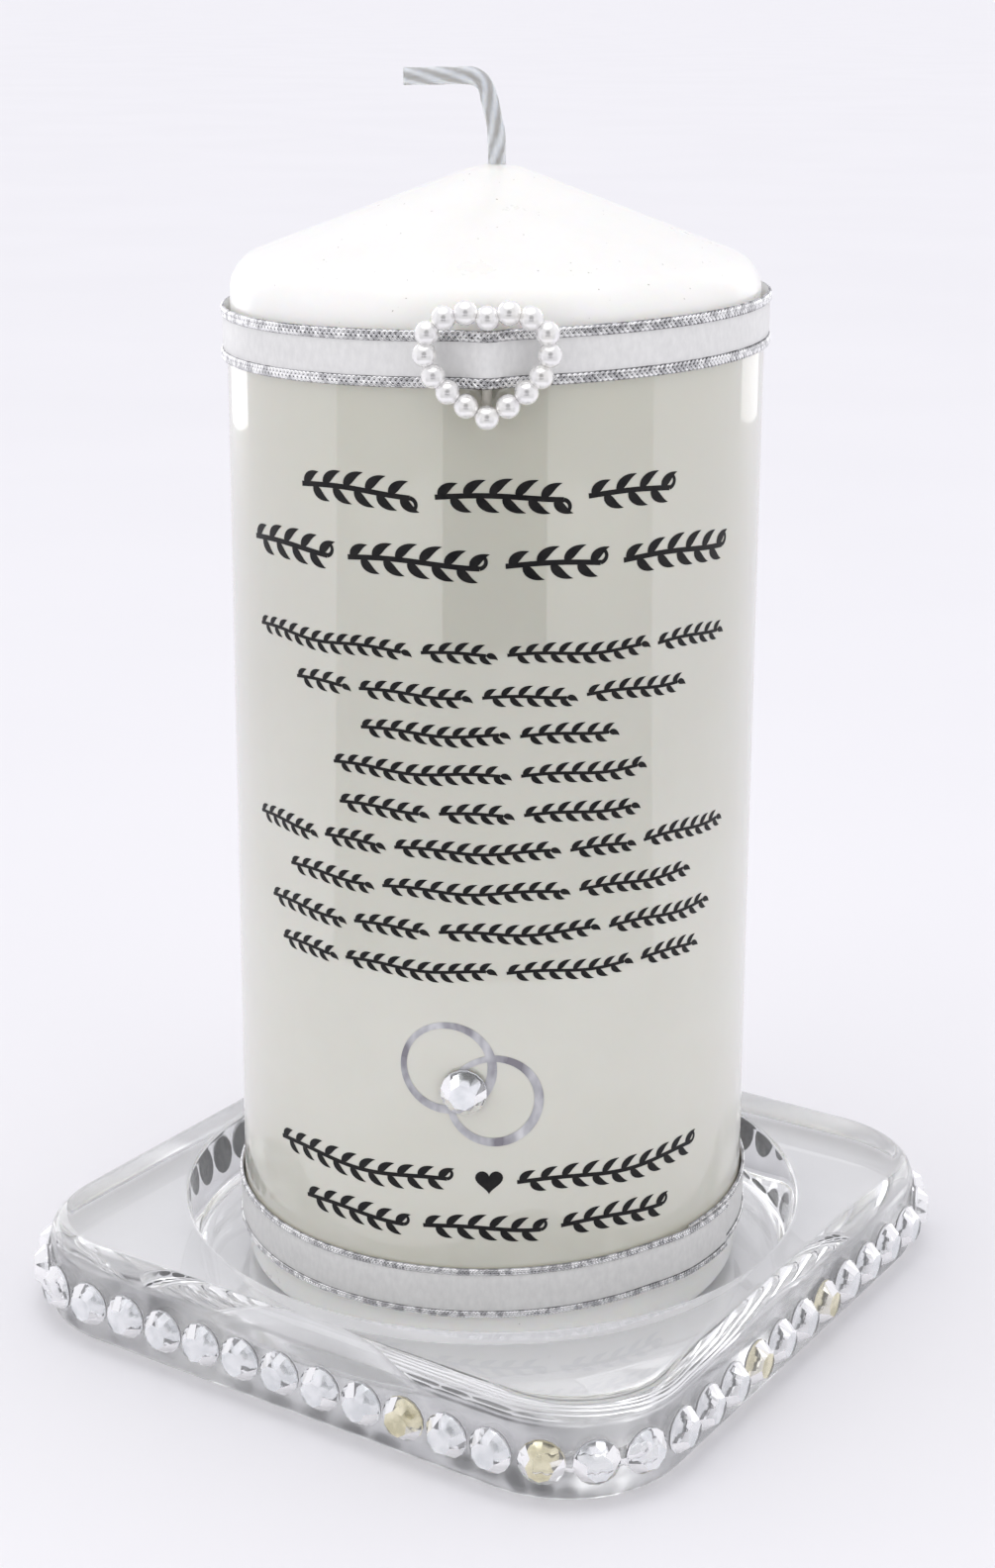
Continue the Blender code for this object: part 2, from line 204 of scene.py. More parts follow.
class Finish:
    """One material with its Principled shader and a few short ways to add texture."""

    def __init__(self, name, **values):
        self.material = bpy.data.materials.new(name)
        self.material.use_nodes = True
        self.tree = self.material.node_tree
        self.shader = self.tree.nodes["Principled BSDF"]
        for socket, value in values.items():
            self.shader.inputs[socket.replace("_", " ")].default_value = value
        self.place = self.tree.nodes.new("ShaderNodeTexCoord").outputs["Object"]

    def node(self, kind, inputs=None, **settings):
        made = self.tree.nodes.new(kind)
        for name, value in settings.items():
            setattr(made, name, value)
        for socket, value in (inputs or {}).items():
            if isinstance(value, bpy.types.NodeSocket):
                self.tree.links.new(value, made.inputs[socket])
            else:
                made.inputs[socket].default_value = value
        return made

    def stretch(self, x, y, z):
        inputs = {"Vector": self.place, "Scale": (x, y, z)}
        return self.node("ShaderNodeMapping", inputs).outputs["Vector"]

    def noise(self, scale, detail=3.0, roughness=0.5, vector=None):
        inputs = {"Vector": vector or self.place, "Scale": scale}
        inputs |= {"Detail": detail, "Roughness": roughness}
        return self.node("ShaderNodeTexNoise", inputs).outputs["Fac"]

    def ramp(self, factor, *stops):
        made = self.node("ShaderNodeValToRGB", {"Fac": factor})
        fill_ramp(made.color_ramp.elements, stops)
        return made.outputs["Color"]

    def range(self, factor, low, high, start=0.3, end=0.7):
        inputs = {"Value": factor, "From Min": start, "From Max": end, "To Min": low, "To Max": high}
        return self.node("ShaderNodeMapRange", inputs).outputs["Result"]

    def link(self, output, socket):
        self.tree.links.new(output, self.shader.inputs[socket])

    def bump(self, height, distance, strength=1.0, socket="Normal"):
        inputs = {"Height": height, "Distance": distance, "Strength": strength}
        made = self.node("ShaderNodeBump", inputs)
        self.link(made.outputs["Normal"], socket)


# %% [markdown]
# ## Camera
#
# The candle is looked down on slightly, from close by, so its sides draw together towards the base
# and the plate opens into a wide diamond. A close camera with a long enough lens gives exactly that.
# The frame is shifted down a little, because the candle's base is nearer to us than its tip.

# %% Camera
CAMERA_DISTANCE = 342.0 * MM
CAMERA_HEIGHT = 180.2 * MM
CAMERA_PITCH = math.radians(14.92)
CAMERA_YAW = math.radians(0.07)
CAMERA_ROLL = math.radians(0.257)

camera_data = bpy.data.cameras.new("camera")
camera_data.sensor_fit = "VERTICAL"
camera_data.sensor_height = 36.0
camera_data.lens = 59.93
camera_data.shift_y = -0.076
camera_data.clip_start = 0.01
camera_data.clip_end = 50.0
camera = bpy.data.objects.new("camera", camera_data)
bpy.context.scene.collection.objects.link(camera)
camera.matrix_world = (
    Matrix.Translation((0.0, -CAMERA_DISTANCE, CAMERA_HEIGHT))
    @ Matrix.Rotation(-CAMERA_YAW, 4, "Z")
    @ Matrix.Rotation(math.pi / 2 - CAMERA_PITCH, 4, "X")
    @ Matrix.Rotation(CAMERA_ROLL, 4, "Z")
)
bpy.context.scene.camera = camera

# %% [markdown]
# ## Stage and light
#
# The candle stands in a white light tent, where light comes from nearly everywhere. The world gives
# that even glow, and one broad soft light from straight above makes the cone the brightest part and
# leaves a faint shadow under the plate. The floor is one pale sheet that runs out to the horizon,
# where it has the same tone as the tent, so no edge shows behind the candle.
#
# The tent's front is open for the camera. A glossy film mirrors that opening as a slightly darker
# upright band, and clear glass needs it even more: its rim is only drawn by what is darker around it.

# %% Floor
FLOOR_SIZE = 60.0
TENT_WHITE = (0.900, 0.893, 0.935)


def floor_material():
    floor = Finish("tent_floor", Roughness=0.9)
    floor.shader.inputs["Specular IOR Level"].default_value = 0.1
    pale, paler = (0.828, 0.822, 0.848), (0.840, 0.834, 0.860)
    floor.link(floor.ramp(floor.noise(6.0), (0.35, pale), (0.65, paler)), "Base Color")
    floor.bump(floor.noise(1800.0, 4.0), 0.00004, 0.3)
    return floor.material


def flat_panel(name, width, length, material):
    panel = Shape()
    corners = [(-width / 2, -length / 2, 0.0), (width / 2, -length / 2, 0.0)]
    corners += [(width / 2, length / 2, 0.0), (-width / 2, length / 2, 0.0)]
    panel.face(panel.ring(corners))
    made = panel.made(name, material, smooth=False, solid=False)
    return made


flat_panel("tent_floor", FLOOR_SIZE, FLOOR_SIZE, floor_material())

# %% [markdown]
# The opening is made in two ways. The world dims towards the front, with one dark patch where the
# camera looks in. That shades the middle of the round candle and puts the small dark spot on each
# pearl. The upright film looks down at the floor instead, so two fan-shaped cards lie there: a dark
# one in the middle and a wide grey one under it. Only reflections see them.

# %% Tent opening
FRONT_GREY = (0.68, 0.675, 0.695)
OPENING_TONE = (0.05, 0.05, 0.05)
TOWARDS_OPENING = (0.0, -0.97, 0.24)
DIMMING = ((0.15, TENT_WHITE), (0.72, FRONT_GREY), (0.905, FRONT_GREY), (0.955, OPENING_TONE))


def floor_fan(name, half_angle, near, far, height, dark, light):
    finish = Finish(name, Roughness=1.0)
    finish.shader.inputs["Specular IOR Level"].default_value = 0.0
    finish.link(finish.ramp(finish.noise(5.0), (0.3, dark), (0.7, light)), "Base Color")
    fan = Shape()
    angles = [math.radians(half_angle * step / 12) for step in range(-12, 13)]
    inner = [(near * math.sin(a), -near * math.cos(a), height) for a in angles]
    outer = [(far * math.sin(a), -far * math.cos(a), height) for a in angles]
    fan.loft([inner, outer], closed=False, caps=False)
    made = fan.made(name, finish.material, smooth=False, solid=False)
    made.visible_camera = False
    made.visible_diffuse = False
    made.visible_shadow = False
    made.visible_transmission = False


def tent_world():
    world = bpy.data.worlds.new("tent")
    world.use_nodes = True
    bpy.context.scene.world = world
    sky = world.node_tree
    direction = sky.nodes.new("ShaderNodeTexCoord").outputs["Generated"]
    forward = sky.nodes.new("ShaderNodeVectorMath")
    forward.operation = "DOT_PRODUCT"
    forward.inputs[1].default_value = TOWARDS_OPENING
    sky.links.new(direction, forward.inputs[0])
    opening = sky.nodes.new("ShaderNodeValToRGB")
    fill_ramp(opening.color_ramp.elements, DIMMING)
    sky.links.new(forward.outputs["Value"], opening.inputs["Fac"])
    sky.links.new(opening.outputs["Color"], sky.nodes["Background"].inputs["Color"])


floor_fan("opening_wide", 68.0, 0.17, 1.6, 0.003, (0.46, 0.46, 0.46), (0.52, 0.52, 0.52))
floor_fan("opening_middle", 21.0, 0.40, 1.3, 0.004, (0.02, 0.02, 0.02), (0.05, 0.05, 0.05))
tent_world()

# %% [markdown]
# Light that enters thick glass can bounce inside it dozens of times before it gets out. If the
# renderer gives up too early, those paths turn black, so the limits are raised here.
#
# Two low soft lights in front fill in the foot of the candle, which the world alone leaves grey.
# They are hidden from reflections. Two tall lights behind do the opposite: only reflections see
# them, as thin bright lines down the edges of the film.

# %% Lamps
LIGHT_BOUNCES = 48
LIT_POINT = Vector((0.0, 0.0, 0.07))
WALL_SIZE = (0.30, 0.60)
FILL_SIZE = (0.40, 0.30)

bpy.context.scene.view_settings.view_transform = "Standard"
bpy.context.scene.view_settings.look = "None"
for limit in ("max_bounces", "transmission_bounces", "glossy_bounces"):
    setattr(bpy.context.scene.cycles, limit, LIGHT_BOUNCES)


def area_light(name, size, power, place, mirrored):
    """A soft rectangular light aimed at the candle: it is either mirrored in gloss or fills in."""
    data = bpy.data.lights.new(name, "AREA")
    data.shape = "RECTANGLE"
    data.size, data.size_y = size
    data.energy = power
    lamp = bpy.data.objects.new(name, data)
    bpy.context.scene.collection.objects.link(lamp)
    lamp.location = place
    lamp.rotation_euler = (LIT_POINT - Vector(place)).to_track_quat("-Z", "Y").to_euler()
    lamp.visible_camera = False
    lamp.visible_diffuse = not mirrored
    lamp.visible_glossy = mirrored
    return lamp


def overhead_light(strength):
    """A broad light from straight above that reaches the whole floor evenly."""
    data = bpy.data.lights.new("tent_roof", "SUN")
    data.energy = strength
    data.angle = math.radians(70.0)
    lamp = bpy.data.objects.new("tent_roof", data)
    bpy.context.scene.collection.objects.link(lamp)
    lamp.rotation_euler = (math.radians(8.0), math.radians(-5.0), 0.0)


overhead_light(0.86)
area_light("left_wall", WALL_SIZE, 0.8, (-0.42, 0.50, 0.26), mirrored=True)
area_light("right_wall", WALL_SIZE, 0.4, (0.46, 0.50, 0.26), mirrored=True)
area_light("left_fill", FILL_SIZE, 0.50, (-0.42, -0.45, 0.18), mirrored=False)
area_light("right_fill", FILL_SIZE, 0.46, (0.42, -0.45, 0.18), mirrored=False)

# %% [markdown]
# ## Glass plate
#
# The plate is one thick slab of pressed glass: a rounded square with softly rolled edges and a
# shallow round well. It could be cut from a block, but the cut would leave long thin faces that
# glass shows as streaks. Instead every outline has the same number of points, so the slab is lofted
# from the middle of its underside, up round the rim, across the top and down into the well.
#
# Clear glass needs three things: full transmission, a refraction index of 1.5, and a faint ripple
# with almost no roughness, because pressed glass is never perfectly flat. It also needs air under
# it. A plate that shares its underside with the floor looks black, so this one stops a hair short.
#
# The sides are different. They were wiped with glue before the stones went on, which left them a
# little dull, so they get their own finish: rougher, and tinted grey as painted shade, which darkens
# the sides as they look in the tent's light. The plate also casts no hard shadow of its own, because
# real glass lets most of the light through to the table.

# %% Glass plate
PLATE_SIDE = 98.0 * MM
PLATE_CORNER = 16.5 * MM
PLATE_TURN = math.radians(-33.3)
PLATE_TOP_ROUND = 3.0 * MM
PLATE_FOOT_ROUND = 0.8 * MM
WELL_RIM = 43.5 * MM
WELL_FLOOR = 40.0 * MM
WELL_FLOOR_Z = 4.5 * MM
WELL_FILLET = 2.0 * MM
WELL_LIP = 0.7 * MM
PLATE_RAYS = 320
AIR_GAP = 0.06 * MM


def rounded_square(inset, height):
    """One point per ray from the middle out to the rounded square, drawn in by an inset."""
    half = PLATE_SIDE / 2 - inset
    reach = PLATE_SIDE / 2 - PLATE_CORNER
    radius = PLATE_CORNER - inset
    loop = []
    for ray in range(PLATE_RAYS):
        angle = 2 * math.pi * ray / PLATE_RAYS
        x, y = abs(math.cos(angle)), abs(math.sin(angle))
        far = half / max(x, y)
        if min(x, y) * far > reach:
            middle = (x + y) * reach
            far = middle + math.sqrt(middle * middle - 2 * reach * reach + radius * radius)
        turned = angle + PLATE_TURN
        loop.append((far * math.cos(turned), far * math.sin(turned), height))
    return loop


def circle(radius, height, turn=PLATE_TURN, count=PLATE_RAYS):
    angles = [2 * math.pi * step / count + turn for step in range(count)]
    return [(radius * math.cos(a), radius * math.sin(a), height) for a in angles]


def glass_material(name, tint, smear, ripple):
    glass = Finish(name, Base_Color=(*tint, 1.0), IOR=1.5, Transmission_Weight=1.0)
    glass.link(glass.range(glass.noise(45.0, 4.0, 0.6), *smear, 0.40, 0.75), "Roughness")
    glass.bump(glass.noise(70.0, 1.0), ripple, 0.35)
    return glass.material


def glass_plate():
    plate = Shape()
    foot = arc((0.0, PLATE_FOOT_ROUND + AIR_GAP), PLATE_FOOT_ROUND, -90, 0, 6)
    rolled = arc((0.0, PLATE_TOP - PLATE_TOP_ROUND), PLATE_TOP_ROUND, 0, 90, 14)
    rim = [(PLATE_FOOT_ROUND - x, z) for x, z in foot]
    rim += [(0.0, z) for z in (3.0 * MM, 6.0 * MM, 8.5 * MM)]
    rim += [(PLATE_TOP_ROUND - x, z) for x, z in rolled]
    sections = [circle(2.0 * MM, AIR_GAP), circle(25.0 * MM, AIR_GAP)]
    sections += [rounded_square(inset, z) for inset, z in rim]
    lip = arc((WELL_RIM + WELL_LIP * 0.4, PLATE_TOP - WELL_LIP), WELL_LIP, 90, 168, 6)
    fillet = arc((WELL_FLOOR, WELL_FLOOR_Z + WELL_FILLET), WELL_FILLET, -12, -90, 8)
    well = lip + fillet + [(25.0 * MM, WELL_FLOOR_Z), (2.0 * MM, WELL_FLOOR_Z)]
    sections += [circle(radius, height) for radius, height in well]
    plate.loft(sections)
    polished = glass_material("polished_glass", (0.985, 0.992, 0.988), (0.0, 0.025), 0.00022)
    # Painted shade: the side glass is tinted grey to darken the sides, on top of its roughness.
    dull_side_painted_shade = glass_material("dull_glass_side_painted_shade", (0.66, 0.665, 0.67), (0.14, 0.26), 0.0003)
    made = plate.made("glass_plate_clear", polished, dull_side_painted_shade, sharp=50)
    for face in made.data.polygons:
        upright = abs(face.normal.z) < 0.35
        face.material_index = int(upright and face.center.xy.length > WELL_RIM + MM)
    made.visible_shadow = False
    return made


settle(glass_plate(), "plate", "clear_glass", "glass_plate")

# %% [markdown]
# ## Flat-back stones
#
# Each stone is a cut acrylic dome on silver foil. The foil is what makes it bright: light goes in
# through the crown, bounces off the foil and comes out through another facet. A shiny grey dome
# can't do that, so the stone is modelled the same way, as a clear faceted crown with a mirror
# inside its flat back. Seen through the flat table the mirror is calm and bright, and the facets
# round it break it into light and dark. A grey lacquer protects the back of the foil and comes up
# round its edge, and that draws the thin dark outline of each stone.
#
# A few stones have a warmer foil, as happens when they come from different packets, and every
# stone is turned by its own small angle, because they are pressed on by hand.

# %% Flat-back stones
GEM_RADIUS = 3.0 * MM
GEM_HEIGHT = 2.1 * MM
GEM_GIRDLE = 0.55 * MM
GEM_TABLE = 0.58
GEM_Z = 5.8 * MM
GEM_STANDOFF = 0.3 * MM
GEMS_PER_SIDE = 11
GEMS_PER_CORNER = 3
WARM_STONES = ("front_left_09", "front_right_04", "front_right_07", "back_right_05", "back_left_02")
chance = random.Random(14)


def crystal_material(name, tint):
    crystal = Finish(name, Base_Color=(*tint, 1.0), IOR=1.49, Transmission_Weight=1.0)
    crystal.link(crystal.range(crystal.noise(900.0), 0.0, 0.05), "Roughness")
    crystal.bump(crystal.noise(500.0, 2.0), 0.00003, 0.12)
    return crystal.material


def foil_material(name, dark, light):
    foil = Finish(name, Metallic=1.0)
    foil.link(foil.ramp(foil.noise(420.0, 2.0), (0.38, dark), (0.6, light)), "Base Color")
    foil.link(foil.range(foil.noise(900.0), 0.16, 0.24), "Roughness")
    foil.bump(foil.noise(500.0, 2.0), 0.00002, 0.1)
    return foil.material


def lacquer_material():
    lacquer = Finish("grey_lacquer", IOR=1.5)
    cloud = lacquer.noise(900.0, 2.0)
    dark, light = (0.30, 0.30, 0.31), (0.42, 0.42, 0.43)
    lacquer.link(lacquer.ramp(cloud, (0.3, dark), (0.7, light)), "Base Color")
    lacquer.link(lacquer.range(cloud, 0.35, 0.5), "Roughness")
    return lacquer.material


def glue_material():
    glue = Finish("clear_glue", Base_Color=(0.97, 0.97, 0.96, 1.0), IOR=1.47, Transmission_Weight=1.0)
    glue.link(glue.range(glue.noise(600.0), 0.02, 0.2), "Roughness")
    glue.bump(glue.noise(800.0, 3.0), 0.0001, 0.5)
    return glue.material


# %% [markdown]
# One stone is built round its own centre, with its flat back at height nought. A placement then
# carries it to the plate and turns it to face outwards. The crown needs only three rings: sixteen
# points at the girdle, and eight at the table, set half a step round so that triangles fit between.

# %% One stone


def place_facing(point, outward, spin):
    """A placement whose +Z looks outward, turned about that by a spin."""
    up = Vector((0.0, 0.0, 1.0))
    rotation = Matrix((up.cross(outward), up, outward)).transposed().to_4x4()
    return Matrix.Translation(point) @ rotation @ Matrix.Rotation(spin, 4, "Z")


def add_stone(shape, placement, crystal_slot, foil_slot, lacquer_slot):
    """A faceted crown with a slightly domed mirror just inside its lacquered flat back."""

    def ring(count, radius, height, offset=0.0):
        angles = [2 * math.pi * (step + offset) / count for step in range(count)]
        flat = [(radius * math.cos(a), radius * math.sin(a), height) for a in angles]
        return shape.ring(placement @ Vector(point) for point in flat)

    back = ring(16, GEM_RADIUS * 0.97, 0.0)
    low = ring(16, GEM_RADIUS, GEM_GIRDLE * 0.5)
    girdle = ring(16, GEM_RADIUS * 0.995, GEM_GIRDLE)
    table = ring(8, GEM_RADIUS * GEM_TABLE, GEM_HEIGHT, offset=0.5)
    shape.band(back, low, slot=lacquer_slot)
    shape.band(low, girdle, slot=crystal_slot)
    for i in range(8):
        middle = girdle[(2 * i + 2) % 16]
        shape.face((table[i], table[(i + 1) % 8], middle), crystal_slot)
        shape.face((table[i], girdle[(2 * i + 1) % 16], girdle[2 * i]), crystal_slot)
        shape.face((table[i], middle, girdle[(2 * i + 1) % 16]), crystal_slot)
    shape.face(back[::-1], lacquer_slot)
    shape.face(table, crystal_slot)

    mirror = ring(16, GEM_RADIUS * 0.93, 0.06 * MM)
    raised = ring(8, GEM_RADIUS * 0.50, 0.12 * MM, offset=0.5)
    for i in range(8):
        j = (i + 1) % 8
        shape.face((mirror[2 * i], mirror[2 * i + 1], raised[i]), foil_slot)
        shape.face((mirror[2 * i + 1], mirror[(2 * i + 2) % 16], raised[i]), foil_slot)
        shape.face((mirror[(2 * i + 2) % 16], raised[j], raised[i]), foil_slot)
    shape.face(raised, foil_slot)


# %% [markdown]
# The stones stand at an even pitch all the way round the plate's rim, so the pitch is the rim's
# length shared out. The straight sides come first, eleven stones each.

# %% Stones along the sides
crystal = crystal_material("cut_acrylic", (0.975, 0.98, 0.985))
crystal_warm = crystal_material("cut_acrylic_warm", (0.97, 0.95, 0.86))
foil = foil_material("silver_foil", (0.80, 0.82, 0.83), (0.94, 0.95, 0.955))
foil_warm = foil_material("champagne_foil", (0.66, 0.63, 0.48), (0.90, 0.87, 0.72))
lacquer = lacquer_material()
glue = glue_material()


def stone_materials(label):
    return (crystal_warm, foil_warm, lacquer) if label in WARM_STONES else (crystal, foil, lacquer)


def single_stone(label, node, point, outward, body):
    shape = Shape()
    spin = math.radians(chance.uniform(-20.0, 20.0))
    nudge = Vector((0.0, 0.0, chance.uniform(-0.12, 0.12) * MM))
    add_stone(shape, place_facing(point + nudge, outward, spin), 0, 1, 2)
    stone = shape.made(f"stone_{label}", *stone_materials(label), smooth=False, solid=False)
    settle(stone, body, "foiled_crystal", node)


rim = 4 * (PLATE_SIDE - 2 * PLATE_CORNER) + 2 * math.pi * PLATE_CORNER
PITCH = rim / (4 * (GEMS_PER_SIDE + GEMS_PER_CORNER))

for side, label in enumerate(("front_left", "front_right", "back_right", "back_left")):
    turn = Matrix.Rotation(PLATE_TURN + side * math.pi / 2, 3, "Z")
    outward = turn @ Vector((0.0, -1.0, 0.0))
    along = turn @ Vector((1.0, 0.0, 0.0))
    for i in range(GEMS_PER_SIDE):
        shift = (i - (GEMS_PER_SIDE - 1) / 2) * PITCH
        point = outward * (PLATE_SIDE / 2 + GEM_STANDOFF) + along * shift + Vector((0.0, 0.0, GEM_Z))
        single_stone(f"{label}_{i + 1:02d}", f"gem_{label}_{i + 1:02d}", point, outward, "plate")

# %% [markdown]
# A flat back can't sit flush on a rounded corner, so the three stones there are bedded on a bead of
# clear glue. The bead has a soft, slightly uneven section, like glue squeezed out under the stones.

# %% Corner stones and their glue
GLUE_THICKNESS = 0.55 * MM
GLUE_WIDTH = 3.0 * MM


def corner_stones(label, middle):
    shape = Shape()
    step = PITCH / PLATE_CORNER
    reach = PLATE_SIDE / 2 - PLATE_CORNER
    axis = Matrix.Rotation(middle - math.pi / 4, 3, "Z") @ Vector((reach, reach, GEM_Z))
    bed = PLATE_CORNER + GEM_STANDOFF
    sections = []
    for k in range(41):
        angle = middle + (k / 20 - 1) * step * 1.15
        outward = Vector((math.cos(angle), math.sin(angle), 0.0))
        wide = GLUE_WIDTH / 2 * (0.9 + 0.1 * math.sin(k * 1.7))
        bulge = arc((0.0, 0.0), 1.0, -90, 90, 8)
        bead = []
        for x, z in bulge:
            lifted = Vector((0.0, 0.0, wide * z))
            bead.append(axis + outward * (bed + GLUE_THICKNESS * x) + lifted)
        sections.append(bead)
    shape.loft(sections, slot=2)
    for i in range(GEMS_PER_CORNER):
        angle = middle + (i - 1) * step
        outward = Vector((math.cos(angle), math.sin(angle), 0.0))
        spin = math.radians(chance.uniform(-20.0, 20.0))
        warm = label == "front" and i == 0
        slots = (3, 4, 5) if warm else (0, 1, 5)
        add_stone(shape, place_facing(axis + outward * bed, outward, spin), *slots)
    finishes = (crystal, foil, glue, crystal_warm, foil_warm, lacquer)
    stones = shape.made(f"stones_corner_{label}", *finishes, smooth=False, solid=False)
    settle(stones, "plate", "foiled_crystal", f"corner_gems_{label}")


for quarter, label in enumerate(("front", "right", "back", "left")):
    corner_stones(label, PLATE_TURN + quarter * math.pi / 2 - math.pi / 4)

RING_GEM_ANGLE = math.radians(-5.9)
gem_low, gem_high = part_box("ring_gem")
facing_out = wrap(RING_GEM_ANGLE, 1.0, 0.0)
gem_point = facing_out * (FILM_RADIUS + GEM_STANDOFF) + Vector((0.0, 0.0, (gem_low.z + gem_high.z) / 2))
single_stone("on_rings", "ring_gem", gem_point, facing_out, "candle")

# %% [markdown]
# ## Wax body
#
# The candle is a moulded pillar with a low cone, a soft shoulder and a last dip in pale, harder wax,
# which leaves it slightly glossy. It is a turned shape, so its outline is spun round the axis.
# The turning is then moved by a few hundredths of a millimetre, because a dipped surface is never
# perfectly round.
#
# Light soaks into wax before it comes back out. Subsurface scattering does that, with a reach of a
# few millimetres, and red light travels furthest.

# %% Wax body
CONE_ANGLE = 21.0
SHOULDER_ROUND = 5.0 * MM
TIP_ROUND = 12.0 * MM
FOOT_ROUND = 1.2 * MM
WICK_RADIUS = 1.2 * MM
WAX_TURNS = 192
WAX_UNEVEN = 0.035 * MM


def wax_material():
    soft = {"Subsurface_Weight": 0.35, "Subsurface_Scale": 0.004}
    wax = Finish("ivory_wax", IOR=1.44, Coat_Weight=0.35, **soft)
    wax.shader.inputs["Subsurface Radius"].default_value = (1.0, 0.72, 0.45)
    wax.shader.inputs["Coat Roughness"].default_value = 0.12
    cloud = wax.noise(90.0, 5.0, 0.6)
    tone = wax.ramp(cloud, (0.3, (0.925, 0.915, 0.875)), (0.7, (0.955, 0.948, 0.915)))
    speck = wax.noise(1500.0, 1.0)
    dust = wax.ramp(speck, (0.775, (0.0, 0.0, 0.0)), (0.80, (1.0, 1.0, 1.0)))
    mix = wax.node("ShaderNodeMix", data_type="RGBA")
    wax.tree.links.new(dust, mix.inputs["Factor"])
    wax.tree.links.new(tone, mix.inputs["A"])
    mix.inputs["B"].default_value = (0.45, 0.43, 0.38, 1.0)
    wax.link(mix.outputs["Result"], "Base Color")
    wax.link(wax.range(cloud, 0.26, 0.40), "Roughness")
    wax.bump(wax.noise(220.0, 4.0), 0.00018, 0.35)
    return wax.material


def wax_outline():
    """From the bottom middle, round the foot, up the side, over the shoulder and up the cone."""
    tan, cos = math.tan(math.radians(CONE_ANGLE)), math.cos(math.radians(CONE_ANGLE))
    cone_tip = wax_high.z + TIP_ROUND * (1 / cos - 1)
    shoulder_x = WAX_RADIUS - SHOULDER_ROUND
    edge = shoulder_x + SHOULDER_ROUND * math.sin(math.radians(CONE_ANGLE))
    shoulder_z = cone_tip - edge * tan - SHOULDER_ROUND * cos
    outline = [(1.5 * MM, wax_low.z), (18.0 * MM, wax_low.z)]
    outline += arc((WAX_RADIUS - FOOT_ROUND, wax_low.z + FOOT_ROUND), FOOT_ROUND, -90, 0, 5)
    foot_top, side = wax_low.z + FOOT_ROUND, shoulder_z - wax_low.z
    outline += [(WAX_RADIUS, foot_top + side * k / 26) for k in range(1, 25)]
    outline += arc((shoulder_x, shoulder_z), SHOULDER_ROUND, 0, 90 - CONE_ANGLE, 12)
    tip = arc((0.0, wax_high.z - TIP_ROUND), TIP_ROUND, 90 - CONE_ANGLE, 84, 5)
    (x0, z0), (x1, z1) = outline[-1], tip[0]
    outline += [(x0 + (x1 - x0) * k / 12, z0 + (z1 - z0) * k / 12) for k in range(1, 12)]
    return outline + tip


def wax_body():
    wax = Shape()
    sections = []
    for radius, height in wax_outline():
        ring = []
        for step in range(WAX_TURNS):
            angle = 2 * math.pi * step / WAX_TURNS
            lobes = math.sin(3 * angle + height / MM * 0.05)
            uneven = WAX_UNEVEN * lobes * min(1.0, radius / WAX_RADIUS)
            ring.append(wrap(angle, radius - WAX_UNEVEN + uneven, height))
        sections.append(ring)
    wax.loft(sections)
    return wax.made("wax_pillar", wax_material())


settle(wax_body(), "candle", "ivory_wax", "wax_body")

# %% [markdown]
# ## Wick
#
# A wick is a square braid of cotton, primed in wax so that it stands up. Four strands twisted
# round one core read as a braid at this size. Above the bend the strands lie over to the left and
# end in a blunt cut. A skin of wax fills the grooves, so the strands are sunk into the core, and it
# is thickest near the foot, where the wax ran down.

# %% Wick
wick_low, wick_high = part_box("wick")
WICK_CORE = 1.10 * MM
STRANDS = 4
STRAND_RADIUS = 0.54 * MM
STRAND_OFFSET = 0.58 * MM
STRAND_TWIST = 0.11
ROUTE_STEP = 0.28 * MM


def wick_route():
    """The middle line of the wick, in even short steps, from inside the cone to the cut tip."""
    corner = 2.4 * MM
    bend_z = wick_high.z - WICK_RADIUS
    corner_x = -1.15 * MM - corner
    knots = [Vector((0.0, 0.0, wax_high.z - 8.0 * MM)), Vector((0.05 * MM, 0.0, wax_high.z))]
    knots += [Vector((0.0, 0.0, 160.0 * MM)), Vector((-0.75 * MM, 0.0, 163.4 * MM))]
    knots += [Vector((x, 0.0, z)) for x, z in arc((corner_x, bend_z - corner), corner, 8, 90, 6)]
    knots.append(Vector((-8.0 * MM, 0.0, bend_z - 0.1 * MM)))
    knots.append(Vector((wick_low.x + 0.15 * MM, 0.0, bend_z - 0.15 * MM)))
    route = []
    for first, second in zip(knots, knots[1:]):
        steps = max(2, round((second - first).length / ROUTE_STEP))
        route += [first.lerp(second, k / steps) for k in range(steps)]
    route.append(knots[-1])
    for _ in range(6):
        middle = [(a + b * 2 + c) / 4 for a, b, c in zip(route, route[1:], route[2:])]
        route = [route[0], *middle, route[-1]]
    return route


def cotton_material():
    soft = {"Subsurface_Weight": 0.6, "Subsurface_Scale": 0.002}
    cotton = Finish("waxed_cotton", IOR=1.44, **soft)
    cotton.shader.inputs["Subsurface Radius"].default_value = (1.0, 0.8, 0.6)
    fibre = cotton.noise(2600.0, 5.0, 0.65)
    ivory, pale = (0.975, 0.955, 0.895), (0.99, 0.975, 0.925)
    cotton.link(cotton.ramp(fibre, (0.3, ivory), (0.7, pale)), "Base Color")
    cotton.link(cotton.range(fibre, 0.38, 0.62), "Roughness")
    cotton.bump(fibre, 0.00006, 0.25)
    return cotton.material


